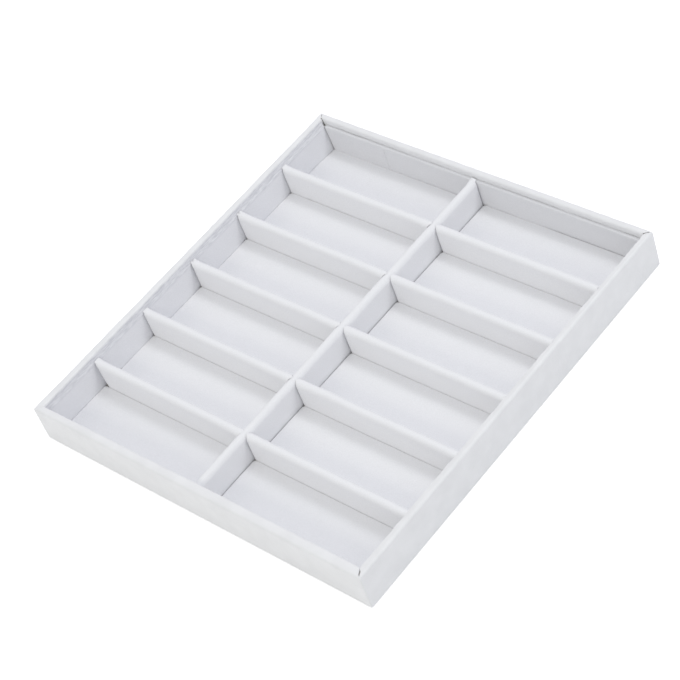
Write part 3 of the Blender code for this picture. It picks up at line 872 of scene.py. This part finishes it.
def lining(name, side, seed, finish=velour, start=(0.0, 0.0), end=(0.0, 0.0), lap=False):
    """Velour on one wall: lining_section carried along it, moved in or back by smooth steps.

    start and end are how far its top corner and its foot stand back there. lap adds the ridge, a squared
    cosine LAP_WIDTH across.
    """
    node = "liner_fabric_" + side
    low, high = (np.array(corner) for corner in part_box(node))
    long_axis = 0 if side in ("front", "rear") else 1
    sign = 1 if side in ("front", "left") else -1
    depth = (high - low)[1 - long_axis]
    wall = low[1 - long_axis] if sign > 0 else high[1 - long_axis]
    rows = lining_section(depth, low[2], high[2], *LINING_TOPS[side])
    first, last = low[long_axis], high[long_axis]
    along = np.linspace(first + END_COLUMNS[-1], last - END_COLUMNS[-1], int((last - first) / (2 * MM)))
    along = np.concatenate([first + END_COLUMNS[:-1], along, last - END_COLUMNS[-2::-1]])
    if lap:
        near = LAP_PLACE + np.linspace(-2, 2, 25) * LAP_WIDTH / 2
        along = np.sort(np.concatenate([along[np.abs(along - LAP_PLACE) > LAP_WIDTH], near]))
    near_start = np.clip(1 - (along - first) / END_REACH, 0, 1)
    near_end = np.clip(1 - (last - along) / END_REACH, 0, 1)
    share = (along - first) / (last - first)
    stands_in = np.interp(share, *FEET.get(side, ((0, 1), (0, 0)))) * MM
    if side == "left":
        from_divider = np.min(np.abs(along[:, None] - np.array(divider_middles)) - divider_half, axis=1)
        stands_in *= 1 - TUCKED * np.exp(-((np.maximum(from_divider, 0) / TUCK) ** 2))
    skins = []
    for skin in (0.0, LINING):
        d = (rows[:, 0] - rows[:, 2] * skin)[:, None] + 0 * along
        z = (rows[:, 1] - rows[:, 3] * skin)[:, None] + 0 * along
        if lap:
            ridge = np.cos(np.pi / 2 * np.clip((along - LAP_PLACE) / (LAP_WIDTH / 2), -1, 1)) ** 2
            below = np.clip((high[2] - LAP_TOP - z) / LAP_FADE, 0, 1)
            d = d + LAP_HEIGHT * ridge * below * (rows[:, 2:3] > 0.5)
        d = d + stands_in * np.clip((high[2] - z) / (high[2] - low[2]), 0, 1)
        if side == "left":
            over = np.clip((depth - BACK_START - rows[:, 0:1]) / (depth - BACK_START), 0, 1)
            d = d + over * np.interp(share, np.linspace(0, 1, len(LEFT_BACK)), LEFT_BACK) * MM
        up = np.clip((z - low[2]) / (high[2] - low[2]), 0, 1)
        at_start = near_start * (start[0] * up**2 + start[1] * (1 - up))
        at_end = near_end * (end[0] * up**HOLE_SHARPNESS + end[1] * (1 - up))
        place = [None, None, z]
        place[long_axis] = along + at_start - at_end
        place[1 - long_axis] = wall + sign * d
        skins.append(np.stack(place, axis=-1))
    rise = np.clip((skins[0][..., 2:] - low[2] - UNEVEN_FROM) / LINING_OVER, 0, 1)
    moved = rise * (ripple(skins[0], *LINING_WAVES, seed) + ripple(skins[0], *LINING_PILE, seed + 1))
    piece = sheet_shell(name, [[skin + moved for skin in skins]], finish)
    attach(piece, "root")
    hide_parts(node)
    return piece


divider_boxes = [np.array(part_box(f"divider_sleeve_left_{number}")) for number in range(1, 6)]
divider_middles = [float(box[:, 1].mean()) for box in divider_boxes]
divider_half = float(np.ptp(divider_boxes[0][:, 1])) / 2
linings = [
    lining("lining_front", "front", 100),
    lining("lining_rear", "rear", 102, velour_painted_shade, start=(CORNER_TOP, CORNER_FOOT), lap=True),
    lining("lining_left", "left", 104, velour_painted_half_shade, end=(CORNER_HOLE, 0.0)),
    lining("lining_right", "right", 106, velour_painted_shade),
]
print("linings:", [len(piece.data.polygons) for piece in linings])

# %% [markdown]
# ## The floor
# The tray lies on a wide white floor. It is a plain diffuse surface, so it keeps the tray's shadow, and
# camera rays see a little extra white in it so that it fades into the background.

# %% Floor
FLOOR_SIZE = 6.0
FLOOR_GLOW = 0.5
floor_mesh = bpy.data.meshes.new("floor")
corners = np.array([(-1, -1, 0), (1, -1, 0), (1, 1, 0), (-1, 1, 0)]) * FLOOR_SIZE / 2
floor_mesh.from_pydata(corners, [], [(0, 1, 2, 3)])
floor = bpy.data.objects.new("floor", floor_mesh)
bpy.context.scene.collection.objects.link(floor)
white = bpy.data.materials.new("white floor")
white.use_nodes = True
tree = white.node_tree
tree.nodes.clear()
rays = add(tree, "LightPath").outputs
seen = add(tree, "Math", {"operation": "MAXIMUM"}, _0=rays["Is Camera Ray"], _1=rays["Is Glossy Ray"])
plain = add(tree, "BsdfDiffuse", Color=linear("EEEEEE"))
glow = add(tree, "Emission", Color=(1, 1, 1, 1), Strength=FLOOR_GLOW)
bright = add(tree, "AddShader", _0=plain.outputs[0], _1=glow.outputs[0])
mixed = add(tree, "MixShader", Fac=seen.outputs[0], _1=plain.outputs[0], _2=bright.outputs[0])
add(tree, "OutputMaterial", Surface=mixed.outputs[0])
floor_mesh.materials.append(white)
print("floor:", FLOOR_SIZE, "m wide")

# %% [markdown]
# ## The light
# The tray stands in a white tent that lights it evenly from all round, which the world's colour does. On top
# of that, three square lamps give the faces their small differences: a cool key lamp at the rear right, a
# warm one in front and a weak one at the rear left. Their places and strengths were solved from the tones of
# the faces in the photograph.

# %% Light
world = bpy.data.worlds.new("studio")
bpy.context.scene.world = world
world.use_nodes = True
tree = world.node_tree
tree.nodes.clear()
rays = add(tree, "LightPath").outputs
TENT = (0.642, 0.657, 0.690, 1.0)
tent = add(tree, "Mix", {"data_type": "RGBA"}, Factor=rays["Is Camera Ray"], _6=TENT, _7=(1, 1, 1, 1))
sky = add(tree, "Background", Color=tent.outputs[2], Strength=1.0)
add(tree, "OutputWorld", Surface=sky.outputs[0])

bpy.context.scene.view_settings.view_transform = "Standard"


def softbox(name, place, size, watts, colour):
    """A square area light that faces the middle of the tray.

    Its back axis points from the middle to the lamp, and its right axis is level: z cross back, made 1 long.
    """
    light = bpy.data.lights.new(name, "AREA")
    light.shape = "SQUARE"
    light.size = size
    light.energy = watts
    light.color = colour
    back = np.array(place) / np.linalg.norm(place)
    right = np.cross((0.0, 0.0, 1.0), back)
    right /= np.linalg.norm(right)
    axes = Matrix(np.column_stack([right, np.cross(back, right), back]).tolist())
    obj = bpy.data.objects.new(name, light)
    obj.matrix_world = Matrix.Translation(place) @ axes.to_4x4()
    bpy.context.scene.collection.objects.link(obj)
    return obj


LAMP_DISTANCE = 3.0
LAMP_SIZE = 0.8
# Each lamp: its height over the floor and its bearing from the right side in degrees, its watts and colour
LAMPS = {
    "key, rear right": (58, 45, 19.8, (0.98, 0.99, 1.0)),
    "front": (40, 270, 13.2, (1.0, 0.96, 0.80)),
    "rear left": (40, 135, 4.4, (1.0, 0.92, 0.92)),
}
for name, (height, bearing, watts, colour) in LAMPS.items():
    up, around = math.radians(height), math.radians(bearing)
    level = LAMP_DISTANCE * math.cos(up)
    place = (level * math.cos(around), level * math.sin(around), LAMP_DISTANCE * math.sin(up))
    softbox(name, place, LAMP_SIZE, watts, colour)
print("lit by", len(LAMPS), "lamps")
